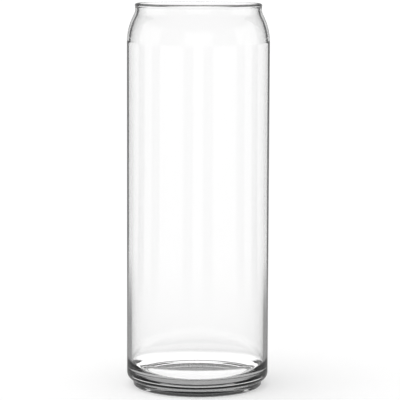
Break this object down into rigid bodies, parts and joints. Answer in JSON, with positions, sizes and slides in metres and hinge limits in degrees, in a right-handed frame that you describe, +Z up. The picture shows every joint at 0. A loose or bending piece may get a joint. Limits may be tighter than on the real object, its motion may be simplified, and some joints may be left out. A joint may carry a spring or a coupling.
{
  "type": "drinking glass",
  "caption": "Tall clear drinking glass shaped like a slim drinks can, with a foot ring, a rounded shoulder and a narrower mouth with a round lip.",
  "frame": {"origin": "centre of the base, on the table the glass stands on", "axes": "+Z up along the axis of the glass; the glass is the same all round, so X and Y are free"},
  "size_m": [0.06, 0.06, 0.162],
  "materials": {
    "glass": "clear, fire polished"
  },
  "bodies": {
    "root": {"glass": "glass"}
  },
  "joints": []
}
